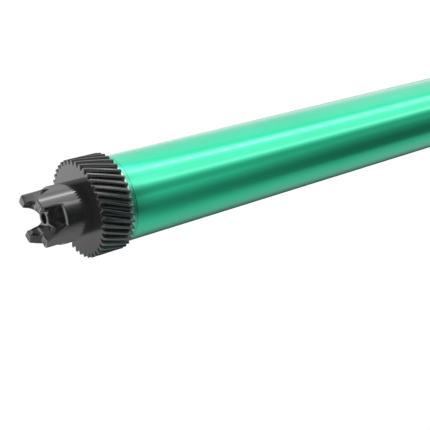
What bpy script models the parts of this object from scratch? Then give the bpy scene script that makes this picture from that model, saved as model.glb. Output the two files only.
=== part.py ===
# Photoconductor drum unit of a laser printer, in metres, with +Z up.
# A coated aluminium tube is closed by a helical drive gear on top and a flange below.
# The drum stands on the rim of that flange, with its axis along Z and the origin under it.

import math

import bmesh
import bpy
from mathutils import Matrix, Vector

MM = 0.001

# Fits between pieces
SEAT_GAP = 0.3 * MM
CUT_OVERRUN = 1.0 * MM

# Drum tube
TUBE_DIAMETER = 24.0 * MM
TUBE_LENGTH = 254.0 * MM
TUBE_WALL = 0.75 * MM
TUBE_EDGE_CHAMFER = 0.12 * MM

# Plugs that both end pieces push into the tube
PLUG_LENGTH = 12.0 * MM
PLUG_WALL = 1.3 * MM
PLUG_LEAD_IN = 0.8 * MM

# Helical gear
TOOTH_MODULE = 0.6 * MM
HELIX_ANGLE = math.radians(20.0)
PRESSURE_ANGLE = math.radians(20.0)
TOOTH_ROOT_DEPTH = 1.25
GEAR_STAND_OUT = 1.37 * MM
GEAR_WIDTH = 9.4 * MM
GEAR_WEB = 1.8 * MM
FIRST_TOOTH_ANGLE = math.radians(-0.8)
FLANK_POINTS = 4
TWIST_STEPS = 4

# Stiffening ribs and centre sleeve inside the gear's plug
GEAR_RIB_COUNT = 6
GEAR_RIB_THICKNESS = 1.0 * MM
GEAR_SLEEVE_RADIUS = 3.0 * MM

# Claw coupling on the gear's outer face
HUB_RADIUS = 7.86 * MM
HUB_WALL = 1.2 * MM
CLAW_COUNT = 4
CLAW_HEIGHT = 13.2 * MM
CLAW_TIP_INNER_RADIUS = 5.4 * MM
CLAW_TIP_CHAMFER = 0.25 * MM
CLAW_LAND_ANGLE = math.radians(21.5)
CLAW_LEAN_ANGLE = math.radians(4.5)
SLOT_FLOOR_HEIGHT = 7.44 * MM
SLOT_ANGLE = math.radians(40.0)
FIRST_SLOT_ANGLE = math.radians(-90.0)
BOWL_FILLET = 1.7 * MM
BOSS_RADIUS = 2.4 * MM
BOSS_HEIGHT = 9.96 * MM
BOSS_FOOT = 0.1 * MM
BOSS_HOLE_RADIUS = 1.48 * MM

# End flange
RIM_THICKNESS = 2.4 * MM
RIM_STAND_OUT = 0.65 * MM
RIM_CHAMFER = 0.45 * MM
RIM_LAND_WIDTH = 0.7 * MM
RIM_DISH_DEPTH = 1.0 * MM
RIM_DISH_WIDTH = 1.6 * MM
FLANGE_FLOOR_DEPTH = 7.0 * MM
FLANGE_WEB = 1.5 * MM
RING_RADIUS = 7.1 * MM
RING_WALL = 0.7 * MM
FACE_SETBACK = 0.4 * MM
FLANGE_HUB_RADIUS = 4.45 * MM
FLANGE_BORE_RADIUS = 3.2 * MM
BORE_CHAMFER = 0.3 * MM
SPOKE_COUNT = 6
SPOKE_THICKNESS = 0.55 * MM
FIRST_SPOKE_ANGLE = math.radians(22.0)

# Ground contact plate and the two posts that hold it
CONTACT_THICKNESS = 0.3 * MM
CONTACT_RIM_OVERLAP = 0.6 * MM
CONTACT_BAND_WIDTH = 4.05 * MM
CONTACT_PRONG_COUNT = 4
CONTACT_PRONG_ANGLE = math.radians(16.0)
CONTACT_TONGUE_WIDTH = 1.6 * MM
CONTACT_TONGUE_REACH = 0.55 * MM
POST_RADIUS = 1.1 * MM
POST_PIN_RADIUS = 0.6 * MM
POST_PIN_HEIGHT = 1.0 * MM
POST_CIRCLE_INSET = 1.7 * MM

# Facets of the turned faces
TUBE_FACETS = 96
TURN_FACETS = 72
SMALL_FACETS = 32
FILLET_STEPS = 5
SECTOR_STEP = math.radians(10.0)
RAMP_STEPS = 6
RIB_GAP_STEPS = 6
SHARP_ANGLE = math.radians(30.0)

# Sizes that follow from the ones above
TUBE_RADIUS = TUBE_DIAMETER / 2
BORE_OF_TUBE = TUBE_RADIUS - TUBE_WALL
PLUG_RADIUS = BORE_OF_TUBE - SEAT_GAP
TUBE_BOTTOM = RIM_THICKNESS + SEAT_GAP
GEAR_BACK = TUBE_BOTTOM + TUBE_LENGTH + SEAT_GAP
GEAR_FACE = GEAR_BACK + GEAR_WIDTH
CONTACT_SEAT = RIM_THICKNESS + PLUG_LENGTH

TRANSVERSE_MODULE = TOOTH_MODULE / math.cos(HELIX_ANGLE)
TARGET_PITCH_RADIUS = TUBE_RADIUS + GEAR_STAND_OUT - TOOTH_MODULE
TOOTH_COUNT = round(2 * TARGET_PITCH_RADIUS / TRANSVERSE_MODULE)
PITCH_RADIUS = TOOTH_COUNT * TRANSVERSE_MODULE / 2
TIP_RADIUS = PITCH_RADIUS + TOOTH_MODULE
ROOT_RADIUS = PITCH_RADIUS - TOOTH_ROOT_DEPTH * TOOTH_MODULE
GEAR_TWIST = GEAR_WIDTH * math.tan(HELIX_ANGLE) / PITCH_RADIUS


def clear_scene():
    for old in list(bpy.data.objects):
        bpy.data.objects.remove(old, do_unlink=True)


def new_collection(name):
    collection = bpy.data.collections.new(name)
    bpy.context.scene.collection.children.link(collection)
    return collection


def new_material(name, color, roughness, metallic):
    material = bpy.data.materials.new(name)
    material.use_nodes = True
    material.diffuse_color = (*color, 1.0)
    shader = material.node_tree.nodes["Principled BSDF"]
    shader.inputs["Base Color"].default_value = (*color, 1.0)
    shader.inputs["Roughness"].default_value = roughness
    shader.inputs["Metallic"].default_value = metallic
    return material


def mesh_from(bm, name):
    mesh = bpy.data.meshes.new(name)
    bm.to_mesh(mesh)
    bm.free()
    return mesh


def place(name, mesh, collection, height, material=None):
    piece = bpy.data.objects.new(name, mesh)
    collection.objects.link(piece)
    piece.location.z = height
    if material:
        piece.data.materials.append(material)
    return piece


def place_cutter(name, mesh, height):
    cutter = place(name, mesh, cutters, height)
    cutter.hide_render = True
    cutter.display_type = "WIRE"
    return cutter


def combine(piece, other, operation):
    """Boolean of a piece with a cutter or an added form."""
    modifier = piece.modifiers.new(other.name, "BOOLEAN")
    modifier.operation = operation
    modifier.object = other
    modifier.solver = "EXACT"


def polar(radius, angle, height=0.0):
    return Vector((radius * math.cos(angle), radius * math.sin(angle), height))


def profile_mesh(name, profile, closed):
    """Outline of (radius, height) points in the XZ plane, to be turned about Z."""
    bm = bmesh.new()
    verts = [bm.verts.new((radius, 0.0, height)) for radius, height in profile]
    for first, second in zip(verts, verts[1:]):
        bm.edges.new((first, second))
    if closed:
        bm.edges.new((verts[-1], verts[0]))
    return mesh_from(bm, name)


def turn(piece, facets):
    screw = piece.modifiers.new("turn", "SCREW")
    screw.axis = "Z"
    screw.angle = math.tau
    screw.steps = facets
    screw.render_steps = facets
    screw.use_merge_vertices = True
    screw.merge_threshold = 0.000001
    screw.use_smooth_shade = True


def cylinder_mesh(name, radius, low, high, places=((0.0, 0.0),)):
    """Upright cylinders of one size, each centred on an (x, y) place."""
    bm = bmesh.new()
    for x, y in places:
        bmesh.ops.create_cone(
            bm,
            cap_ends=True,
            segments=SMALL_FACETS,
            radius1=radius,
            radius2=radius,
            depth=high - low,
            matrix=Matrix.Translation((x, y, (low + high) / 2)),
        )
    return mesh_from(bm, name)


def loft_sections(bm, sections):
    """Closed solid through four-cornered sections, each given as four points."""
    rows = [[bm.verts.new(point) for point in section] for section in sections]
    for row, following in zip(rows, rows[1:]):
        for corner in range(4):
            after = (corner + 1) % 4
            bm.faces.new((row[corner], row[after], following[after], following[corner]))
    bm.faces.new(rows[0][::-1])
    bm.faces.new(rows[-1])


def sector_section(angle, inner, outer, low, high, side=0.0):
    """Section through a sector whose sides stand off the radial plane by a distance."""
    at_inner = angle + math.asin(side / inner)
    at_outer = angle + math.asin(side / outer)
    return (
        polar(inner, at_inner, low),
        polar(outer, at_outer, low),
        polar(outer, at_outer, high),
        polar(inner, at_inner, high),
    )


def spaced(start, end, step):
    count = max(1, round(abs(end - start) / step))
    return [start + (end - start) * index / count for index in range(count + 1)]


def rib_gaps_mesh(name, rib_count, rib_thickness, first_angle, inner, outer, low, high):
    """The gaps between parallel-sided radial ribs, as cutters."""
    bm = bmesh.new()
    pitch = math.tau / rib_count
    for rib in range(rib_count):
        start = first_angle + rib * pitch
        sections = []
        for index in range(RIB_GAP_STEPS + 1):
            share = index / RIB_GAP_STEPS
            side = rib_thickness / 2 * (1 - 2 * share)
            sections.append(sector_section(start + share * pitch, inner, outer, low, high, side))
        loft_sections(bm, sections)
    bmesh.ops.recalc_face_normals(bm, faces=bm.faces)
    return mesh_from(bm, name)


def add_drum_tube(material):
    bottom, top = 0.0, TUBE_LENGTH
    outer, inner, edge = TUBE_RADIUS, BORE_OF_TUBE, TUBE_EDGE_CHAMFER
    profile = [
        (outer - edge, top),
        (outer, top - edge),
        (outer, bottom + edge),
        (outer - edge, bottom),
        (inner + edge, bottom),
        (inner, bottom + edge),
        (inner, top - edge),
        (inner + edge, top),
    ]
    mesh = profile_mesh("drum_tube", profile, closed=True)
    tube = place("drum_tube", mesh, drum, TUBE_BOTTOM, material)
    turn(tube, TUBE_FACETS)
    return tube


def involute(angle):
    return math.tan(angle) - angle


def tooth_outline():
    """One turn of the gear's involute outline, in its transverse plane."""
    pressure = math.atan(math.tan(PRESSURE_ANGLE) / math.cos(HELIX_ANGLE))
    base_radius = PITCH_RADIUS * math.cos(pressure)
    half_pitch = math.pi / TOOTH_COUNT
    flank = []
    for index in range(FLANK_POINTS):
        radius = ROOT_RADIUS + (TIP_RADIUS - ROOT_RADIUS) * index / (FLANK_POINTS - 1)
        radius = max(radius, base_radius)
        half_angle = half_pitch / 2 + involute(pressure) - involute(math.acos(base_radius / radius))
        flank.append((radius, half_angle))
    points = []
    for tooth in range(TOOTH_COUNT):
        centre = FIRST_TOOTH_ANGLE + tooth * 2 * half_pitch
        points += [polar(radius, centre - half_angle) for radius, half_angle in flank]
        points += [polar(radius, centre + half_angle) for radius, half_angle in reversed(flank)]
    return points


def gear_teeth_mesh(name):
    """The toothed disc, extruded upwards in steps that each turn a little."""
    bm = bmesh.new()
    corners = [bm.verts.new(point) for point in tooth_outline()]
    loop = [bm.edges.new((first, second)) for first, second in zip(corners, corners[1:])]
    loop.append(bm.edges.new((corners[-1], corners[0])))
    rims = list(loop)
    rise = Matrix.Translation((0.0, 0.0, GEAR_WIDTH / TWIST_STEPS))
    step = rise @ Matrix.Rotation(GEAR_TWIST / TWIST_STEPS, 4, "Z")
    for _ in range(TWIST_STEPS):
        grown = bmesh.ops.extrude_edge_only(bm, edges=loop)["geom"]
        moved = [item for item in grown if isinstance(item, bmesh.types.BMVert)]
        loop = [item for item in grown if isinstance(item, bmesh.types.BMEdge)]
        bmesh.ops.transform(bm, matrix=step, verts=moved)
    rims += loop
    bmesh.ops.edgeloop_fill(bm, edges=rims)
    bmesh.ops.translate(bm, verts=bm.verts, vec=(0.0, 0.0, -GEAR_WIDTH))
    bmesh.ops.recalc_face_normals(bm, faces=bm.faces)
    return mesh_from(bm, name)


def coupling_profile():
    """Hub with its bowl and claw blank above the gear's face, then the plug below it."""
    bowl_flat = CLAW_TIP_INNER_RADIUS - BOWL_FILLET
    plug_end = -GEAR_WIDTH - PLUG_LENGTH
    middle = -GEAR_WIDTH / 2
    profile = [(0.0, BOSS_HEIGHT), (bowl_flat, BOSS_HEIGHT)]
    for index in range(1, FILLET_STEPS + 1):
        swing = math.pi / 2 * index / FILLET_STEPS
        radius = bowl_flat + BOWL_FILLET * math.sin(swing)
        profile.append((radius, BOSS_HEIGHT + BOWL_FILLET * (1 - math.cos(swing))))
    profile += [
        (CLAW_TIP_INNER_RADIUS, CLAW_HEIGHT - CLAW_TIP_CHAMFER),
        (CLAW_TIP_INNER_RADIUS + CLAW_TIP_CHAMFER, CLAW_HEIGHT),
        (HUB_RADIUS - CLAW_TIP_CHAMFER, CLAW_HEIGHT),
        (HUB_RADIUS, CLAW_HEIGHT - CLAW_TIP_CHAMFER),
        (HUB_RADIUS, middle),
        (PLUG_RADIUS, middle),
        (PLUG_RADIUS, plug_end + PLUG_LEAD_IN),
        (PLUG_RADIUS - PLUG_LEAD_IN / 2, plug_end),
        (0.0, plug_end),
    ]
    return profile


def slot_cutters_mesh(name):
    """Cuts between the claws: a helical ramp, the slot floor, then a leaning drive flank."""
    ramp_angle = math.tau / CLAW_COUNT - SLOT_ANGLE - CLAW_LEAN_ANGLE - CLAW_LAND_ANGLE
    rise = CLAW_HEIGHT - SLOT_FLOOR_HEIGHT
    beyond = (rise + CUT_OVERRUN / 2) / rise
    top = CLAW_HEIGHT + CUT_OVERRUN
    inner, outer = BOSS_RADIUS, HUB_RADIUS + CUT_OVERRUN
    bm = bmesh.new()
    for claw in range(CLAW_COUNT):
        centre = FIRST_SLOT_ANGLE + claw * math.tau / CLAW_COUNT
        floor_start = centre - SLOT_ANGLE / 2
        floor_end = centre + SLOT_ANGLE / 2
        stations = []
        for angle in spaced(-ramp_angle * beyond, 0.0, ramp_angle / RAMP_STEPS):
            stations.append((floor_start + angle, SLOT_FLOOR_HEIGHT - rise * angle / ramp_angle))
        for angle in spaced(floor_start, floor_end, SECTOR_STEP)[1:]:
            stations.append((angle, SLOT_FLOOR_HEIGHT))
        flank_top = SLOT_FLOOR_HEIGHT + rise * beyond
        stations.append((floor_end + CLAW_LEAN_ANGLE * beyond, flank_top))
        sections = [sector_section(angle, inner, outer, low, top) for angle, low in stations]
        loft_sections(bm, sections)
    bmesh.ops.recalc_face_normals(bm, faces=bm.faces)
    return mesh_from(bm, name)


def pocket_cutters_mesh(name):
    """Deep pockets between the hub wall and the boss, one under each slot."""
    inner, outer = BOSS_RADIUS + BOSS_FOOT, HUB_RADIUS - HUB_WALL
    top = CLAW_HEIGHT + CUT_OVERRUN
    bm = bmesh.new()
    for claw in range(CLAW_COUNT):
        centre = FIRST_SLOT_ANGLE + claw * math.tau / CLAW_COUNT
        angles = spaced(centre - SLOT_ANGLE / 2, centre + SLOT_ANGLE / 2, SECTOR_STEP)
        loft_sections(bm, [sector_section(angle, inner, outer, 0.0, top) for angle in angles])
    bmesh.ops.recalc_face_normals(bm, faces=bm.faces)
    return mesh_from(bm, name)


def add_drive_gear(material):
    """One moulding: plug, helical gear, hub and claw coupling."""
    mesh = profile_mesh("drive_gear", coupling_profile(), closed=False)
    gear = place("drive_gear", mesh, drum, GEAR_FACE, material)
    turn(gear, TURN_FACETS)
    plug_end = -GEAR_WIDTH - PLUG_LENGTH
    teeth = place_cutter("gear_teeth", gear_teeth_mesh("gear_teeth"), GEAR_FACE)
    slots = place_cutter("claw_slots", slot_cutters_mesh("claw_slots"), GEAR_FACE)
    pockets = place_cutter("claw_pockets", pocket_cutters_mesh("claw_pockets"), GEAR_FACE)
    hollow_mesh = rib_gaps_mesh(
        "plug_hollow",
        GEAR_RIB_COUNT,
        GEAR_RIB_THICKNESS,
        0.0,
        GEAR_SLEEVE_RADIUS,
        PLUG_RADIUS - PLUG_WALL,
        plug_end - CUT_OVERRUN,
        -GEAR_WEB,
    )
    hollow = place_cutter("plug_hollow", hollow_mesh, GEAR_FACE)
    hole_low, hole_high = plug_end - CUT_OVERRUN, CLAW_HEIGHT
    hole_mesh = cylinder_mesh("boss_hole", BOSS_HOLE_RADIUS, hole_low, hole_high)
    hole = place_cutter("boss_hole", hole_mesh, GEAR_FACE)
    combine(gear, teeth, "UNION")
    combine(gear, slots, "DIFFERENCE")
    combine(gear, pockets, "DIFFERENCE")
    combine(gear, hollow, "DIFFERENCE")
    combine(gear, hole, "DIFFERENCE")
    return gear


def flange_profile():
    """Plug, rim, dished recess, ring and bored hub, as one closed outline."""
    rim = TUBE_RADIUS + RIM_STAND_OUT
    land_inner = rim - RIM_CHAMFER - RIM_LAND_WIDTH
    recess = min(PLUG_RADIUS - PLUG_WALL, land_inner - RIM_DISH_WIDTH)
    floor_outer_side = FLANGE_FLOOR_DEPTH
    floor_inner_side = FLANGE_FLOOR_DEPTH + FLANGE_WEB
    end = CONTACT_SEAT
    return [
        (PLUG_RADIUS - PLUG_LEAD_IN / 2, end),
        (PLUG_RADIUS, end - PLUG_LEAD_IN),
        (PLUG_RADIUS, RIM_THICKNESS),
        (rim - RIM_CHAMFER / 2, RIM_THICKNESS),
        (rim, RIM_THICKNESS - RIM_CHAMFER / 2),
        (rim, RIM_CHAMFER),
        (rim - RIM_CHAMFER, 0.0),
        (land_inner, 0.0),
        (land_inner - RIM_DISH_WIDTH, RIM_DISH_DEPTH),
        (recess, RIM_DISH_DEPTH + SEAT_GAP),
        (recess, floor_outer_side),
        (RING_RADIUS, floor_outer_side),
        (RING_RADIUS, FACE_SETBACK),
        (FLANGE_BORE_RADIUS + BORE_CHAMFER, FACE_SETBACK),
        (FLANGE_BORE_RADIUS, FACE_SETBACK + BORE_CHAMFER),
        (FLANGE_BORE_RADIUS, end),
        (FLANGE_HUB_RADIUS, end),
        (FLANGE_HUB_RADIUS, floor_inner_side),
        (recess, floor_inner_side),
        (recess, end),
    ]


def post_places():
    """Where the two contact posts stand, across the hub from each other."""
    circle = PLUG_RADIUS - PLUG_WALL - POST_CIRCLE_INSET
    return [(0.0, circle), (0.0, -circle)]


def add_end_flange(material):
    """One moulding: plug, rim, spoked ring, bored hub and the contact's posts."""
    mesh = profile_mesh("end_flange", flange_profile(), closed=True)
    flange = place("end_flange", mesh, drum, 0.0, material)
    turn(flange, TURN_FACETS)
    gaps_mesh = rib_gaps_mesh(
        "spoke_gaps",
        SPOKE_COUNT,
        SPOKE_THICKNESS,
        FIRST_SPOKE_ANGLE,
        FLANGE_HUB_RADIUS,
        RING_RADIUS - RING_WALL,
        FACE_SETBACK - CUT_OVERRUN,
        FLANGE_FLOOR_DEPTH,
    )
    gaps = place_cutter("spoke_gaps", gaps_mesh, 0.0)
    foot = FLANGE_FLOOR_DEPTH + FLANGE_WEB / 2
    posts_mesh = cylinder_mesh("posts", POST_RADIUS, foot, CONTACT_SEAT, post_places())
    posts = place_cutter("contact_posts", posts_mesh, 0.0)
    pin_top = CONTACT_SEAT + POST_PIN_HEIGHT
    pins_mesh = cylinder_mesh("pins", POST_PIN_RADIUS, foot, pin_top, post_places())
    pins = place_cutter("contact_pins", pins_mesh, 0.0)
    combine(flange, gaps, "DIFFERENCE")
    combine(flange, posts, "UNION")
    combine(flange, pins, "UNION")
    return flange


def add_spline(curve, points):
    spline = curve.splines.new("POLY")
    spline.points.add(len(points) - 1)
    for target, point in zip(spline.points, points):
        target.co = (point.x, point.y, 0.0, 1.0)
    spline.use_cyclic_u = True


def contact_outlines():
    """Outer edge with prongs to the tube wall, inner edge with tongues to the bore, two holes."""
    body = PLUG_RADIUS - PLUG_WALL + CONTACT_RIM_OVERLAP
    prong = BORE_OF_TUBE - SEAT_GAP
    tongue = FLANGE_BORE_RADIUS - CONTACT_TONGUE_REACH
    opening = body - CONTACT_BAND_WIDTH
    pitch = math.tau / CONTACT_PRONG_COUNT
    outer = []
    for index in range(CONTACT_PRONG_COUNT):
        start = index * pitch - CONTACT_PRONG_ANGLE / 2
        end = index * pitch + CONTACT_PRONG_ANGLE / 2
        outer += [polar(prong, angle) for angle in spaced(start, end, SECTOR_STEP)]
        outer += [polar(body, angle) for angle in spaced(end, start + pitch, SECTOR_STEP)]
    half = CONTACT_TONGUE_WIDTH / 2
    root = math.asin(half / opening)
    inner = []
    for base in (0.0, math.pi):
        turn_to = Matrix.Rotation(base, 3, "Z")
        inner += [turn_to @ Vector((tongue, -half, 0.0)), turn_to @ Vector((tongue, half, 0.0))]
        start, end = base + root, base + math.pi - root
        inner += [polar(opening, angle) for angle in spaced(start, end, SECTOR_STEP)]
    hole = POST_PIN_RADIUS + SEAT_GAP
    holes = []
    for x, y in post_places():
        around = spaced(0.0, math.tau, math.tau / SMALL_FACETS)[:-1]
        holes.append([Vector((x, y, 0.0)) + polar(hole, angle) for angle in around])
    return [outer, inner] + holes


def add_ground_contact(material):
    """Stamped spring plate that joins the tube wall to the shaft in the bore."""
    curve = bpy.data.curves.new("contact_outline", "CURVE")
    curve.dimensions = "2D"
    curve.fill_mode = "BOTH"
    curve.extrude = CONTACT_THICKNESS / 2
    for points in contact_outlines():
        add_spline(curve, points)
    outline = bpy.data.objects.new("contact_outline", curve)
    cutters.objects.link(outline)
    bpy.context.view_layer.update()
    graph = bpy.context.evaluated_depsgraph_get()
    mesh = bpy.data.meshes.new_from_object(outline.evaluated_get(graph))
    bpy.data.objects.remove(outline, do_unlink=True)
    bm = bmesh.new()
    bm.from_mesh(mesh)
    bmesh.ops.remove_doubles(bm, verts=bm.verts, dist=0.000001)
    bmesh.ops.recalc_face_normals(bm, faces=bm.faces)
    bm.to_mesh(mesh)
    bm.free()
    height = CONTACT_SEAT + SEAT_GAP + CONTACT_THICKNESS / 2
    return place("ground_contact", mesh, drum, height, material)


def shade(piece):
    piece.data.shade_smooth()
    piece.data.set_sharp_from_angle(angle=SHARP_ANGLE)


clear_scene()
drum = new_collection("printer_drum_unit")
cutters = new_collection("cutters")

coat = new_material("green_photoconductor", (0.01, 0.55, 0.33), 0.2, 0.6)
plastic = new_material("black_moulded_plastic", (0.012, 0.013, 0.013), 0.35, 0.0)
flange_plastic = new_material("black_flange_plastic", (0.012, 0.012, 0.014), 0.4, 0.0)
bronze = new_material("phosphor_bronze", (0.62, 0.36, 0.17), 0.3, 1.0)

pieces = [
    add_drum_tube(coat),
    add_drive_gear(plastic),
    add_end_flange(flange_plastic),
    add_ground_contact(bronze),
]
axis = bpy.data.objects.new("drum_axis", None)
drum.objects.link(axis)
for piece in pieces:
    piece.parent = axis
    shade(piece)
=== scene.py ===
import math

import bmesh
import bpy
from mathutils import Matrix, Vector


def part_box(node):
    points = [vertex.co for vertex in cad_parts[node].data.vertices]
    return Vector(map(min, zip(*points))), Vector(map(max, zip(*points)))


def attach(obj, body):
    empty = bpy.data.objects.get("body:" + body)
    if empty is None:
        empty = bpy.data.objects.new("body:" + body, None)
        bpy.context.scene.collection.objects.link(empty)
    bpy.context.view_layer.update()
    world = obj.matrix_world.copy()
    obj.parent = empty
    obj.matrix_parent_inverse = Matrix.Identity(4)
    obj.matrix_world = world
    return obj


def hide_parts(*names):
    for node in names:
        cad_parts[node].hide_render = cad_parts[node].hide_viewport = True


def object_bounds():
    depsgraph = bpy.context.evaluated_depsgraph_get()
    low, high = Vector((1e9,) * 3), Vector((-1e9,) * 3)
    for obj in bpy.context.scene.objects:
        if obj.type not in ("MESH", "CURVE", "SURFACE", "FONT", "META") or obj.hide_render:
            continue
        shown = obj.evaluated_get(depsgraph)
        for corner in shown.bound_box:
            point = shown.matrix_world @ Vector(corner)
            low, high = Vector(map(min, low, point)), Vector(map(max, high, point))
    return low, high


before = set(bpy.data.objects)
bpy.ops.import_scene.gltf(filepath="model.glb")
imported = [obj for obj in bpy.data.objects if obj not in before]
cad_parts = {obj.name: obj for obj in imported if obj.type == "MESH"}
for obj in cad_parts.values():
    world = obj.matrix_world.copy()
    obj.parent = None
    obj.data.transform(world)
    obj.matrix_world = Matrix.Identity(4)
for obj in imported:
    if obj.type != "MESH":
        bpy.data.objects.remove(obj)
cadLow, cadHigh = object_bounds()
print("frame loaded:", sorted(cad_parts))

mm = 0.001
weldDistance = 0.0005 * mm  # points this close become one in a node tree
mergeDistance = 0.002 * mm  # and in a finished solid
sharpAngle = 40.0  # an edge that turns more than this, in degrees, stays crisp
tubeLow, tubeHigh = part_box("drum_tube")
_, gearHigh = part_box("drive_gear")
flangeLow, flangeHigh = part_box("end_flange")


# small helpers

def polar(radius, angle, height=0.0):
    return Vector((radius * math.cos(angle), radius * math.sin(angle), height))


def mix(start, end, share):
    return start + (end - start) * share


def steps(start, end, count):
    return [mix(start, end, index / count) for index in range(count + 1)]


def roundDrop(distance, radius):
    # how far a rounded edge lies under its face at a distance from the edge
    if distance >= radius:
        return 0.0
    return radius - math.sqrt(radius ** 2 - (radius - max(distance, 0.0)) ** 2)


def objectFrom(bm, name):
    mesh = bpy.data.meshes.new(name)
    bm.to_mesh(mesh)
    bm.free()
    piece = bpy.data.objects.new(name, mesh)
    bpy.context.scene.collection.objects.link(piece)
    return piece


def removeObject(piece):
    bpy.data.objects.remove(piece, do_unlink=True)


def bakeModifiers(piece):
    # the evaluated shape becomes the object's own plain mesh
    bpy.context.view_layer.update()
    graph = bpy.context.evaluated_depsgraph_get()
    baked = bpy.data.meshes.new_from_object(piece.evaluated_get(graph))
    piece.modifiers.clear()
    piece.data = baked
    return piece


def finishShading(piece):
    # smooth faces with crisp corners, and flat faces that stay flat
    piece.data.shade_smooth()
    piece.data.set_sharp_from_angle(angle=math.radians(sharpAngle))
    weighted = piece.modifiers.new("flatFaces", "WEIGHTED_NORMAL")
    weighted.keep_sharp = True
    return bakeModifiers(piece)


def markEdgeHighlight(piece, least, full):
    # how much each point lies on a convex edge, from least to full degrees, for the finish's
    # painted edge highlight to read
    bm = bmesh.new()
    bm.from_mesh(piece.data)
    layer = bm.verts.layers.float.new("edgeHighlightShare")
    for vert in bm.verts:
        sharpest = max(math.degrees(edge.calc_face_angle_signed(0.0)) for edge in vert.link_edges)
        vert[layer] = min(max((sharpest - least) / (full - least), 0.0), 1.0)
    bm.to_mesh(piece.data)
    bm.free()


# node helpers

def addNode(tree, kind, settings=None, **values):
    # a value that is a socket is linked, any other is set
    node = tree.nodes.new(kind)
    for name, value in (settings or {}).items():
        setattr(node, name, value)
    for name, value in values.items():
        place = int(name[1:]) if name[1:].isdigit() else name.replace("_", " ")
        if isinstance(value, bpy.types.NodeSocket):
            tree.links.new(value, node.inputs[place])
        else:
            node.inputs[place].default_value = value
    return node


def calc(tree, operation, *values):
    inputs = {f"i{index}": value for index, value in enumerate(values)}
    return addNode(tree, "ShaderNodeMath", {"operation": operation}, **inputs).outputs[0]


# geometry node trees

def newTree(name, inputs):
    tree = bpy.data.node_groups.new(name, "GeometryNodeTree")
    tree.interface.new_socket("Geometry", in_out="INPUT", socket_type="NodeSocketGeometry")
    for label, kind, value in inputs:
        socket = tree.interface.new_socket(label, in_out="INPUT", socket_type="NodeSocket" + kind)
        if value is not None:
            socket.default_value = value
    tree.interface.new_socket("Geometry", in_out="OUTPUT", socket_type="NodeSocketGeometry")
    return tree, tree.nodes.new("NodeGroupInput").outputs, tree.nodes.new("NodeGroupOutput").inputs


def endTree(tree, shape, given, result):
    # what the tree made is welded and gets its finish
    welded = addNode(tree, "GeometryNodeMergeByDistance", Geometry=shape, Distance=weldDistance)
    finish = addNode(
        tree, "GeometryNodeSetMaterial", Geometry=welded.outputs[0], Material=given["Finish"]
    )
    tree.links.new(finish.outputs[0], result["Geometry"])
    return tree


def runTree(piece, tree, values):
    modifier = piece.modifiers.new(tree.name, "NODES")
    modifier.node_group = tree
    for item in tree.interface.items_tree:
        if item.item_type == "SOCKET" and item.in_out == "INPUT" and item.name in values:
            modifier[item.identifier] = values[item.name]
    return bakeModifiers(piece)


def buildTurnTree():
    # sweeps an outline round the axis: x is the radius past the path, y is the height turned down
    tree, given, result = newTree("turnOutline", [
        ("Path Radius", "Float", 10 * mm),
        ("Segments", "Int", 128),
        ("Finish", "Material", None),
    ])
    outline = addNode(tree, "GeometryNodeMeshToCurve", Mesh=given["Geometry"]).outputs["Curve"]
    path = addNode(
        tree,
        "GeometryNodeCurvePrimitiveCircle",
        Radius=given["Path Radius"],
        Resolution=given["Segments"],
    ).outputs["Curve"]
    swept = addNode(tree, "GeometryNodeCurveToMesh", Curve=path, Profile_Curve=outline)
    # the sweep leaves the faces pointing inwards
    outwards = addNode(tree, "GeometryNodeFlipFaces", Mesh=swept.outputs["Mesh"])
    return endTree(tree, outwards.outputs["Mesh"], given, result)


def buildRingTree():
    # sets one copy of an object per pitch round the axis and welds them to the base geometry
    tree, given, result = newTree("ringOfCopies", [
        ("Copied Object", "Object", None),
        ("Count", "Int", 40),
        ("Finish", "Material", None),
    ])
    copied = addNode(tree, "GeometryNodeObjectInfo", Object=given["Copied Object"])
    points = addNode(tree, "GeometryNodePoints", Count=given["Count"])
    index = addNode(tree, "GeometryNodeInputIndex").outputs["Index"]
    angle = calc(tree, "MULTIPLY", calc(tree, "DIVIDE", index, given["Count"]), math.tau)
    placed = addNode(
        tree,
        "GeometryNodeInstanceOnPoints",
        Points=points.outputs["Points"],
        Instance=copied.outputs["Geometry"],
        Rotation=addNode(tree, "ShaderNodeCombineXYZ", Z=angle).outputs["Vector"],
    )
    real = addNode(tree, "GeometryNodeRealizeInstances", Geometry=placed.outputs["Instances"])
    joined = addNode(tree, "GeometryNodeJoinGeometry", Geometry=real.outputs["Geometry"])
    tree.links.new(given["Geometry"], joined.inputs["Geometry"])
    return endTree(tree, joined.outputs["Geometry"], given, result)


turnTree = buildTurnTree()
ringTree = buildRingTree()


# outlines and turned columns

corner = {
    "shortestSide": 0.001 * mm,  # a corner with a shorter side stays plain
    "straight": math.radians(89.5),  # and so does one whose half angle is wider
    "mostShare": 0.45,  # an arc takes no more of a side than this
}


def roundCorner(before, here, after, radius, arcSteps):
    # arc in place of a corner of a flat outline, kept short of the neighbouring corners
    before, here, after = Vector(before), Vector(here), Vector(after)
    toBefore, toAfter = before - here, after - here
    shortest = min(toBefore.length, toAfter.length)
    if radius <= 0 or shortest < corner["shortestSide"]:
        return [here] * (arcSteps + 1)
    toBefore, toAfter = toBefore.normalized(), toAfter.normalized()
    half = toBefore.angle(toAfter) / 2
    if half > corner["straight"]:
        return [here] * (arcSteps + 1)
    radius = min(radius, corner["mostShare"] * shortest * math.tan(half))
    centre = here + (toBefore + toAfter).normalized() * radius / math.sin(half)
    arms = [here + way * radius / math.tan(half) - centre for way in (toBefore, toAfter)]
    first, last = [math.atan2(arm.y, arm.x) for arm in arms]
    sweep = (last - first + math.pi) % math.tau - math.pi
    angles = steps(first, first + sweep, arcSteps)
    return [centre + radius * Vector((math.cos(angle), math.sin(angle))) for angle in angles]


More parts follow.
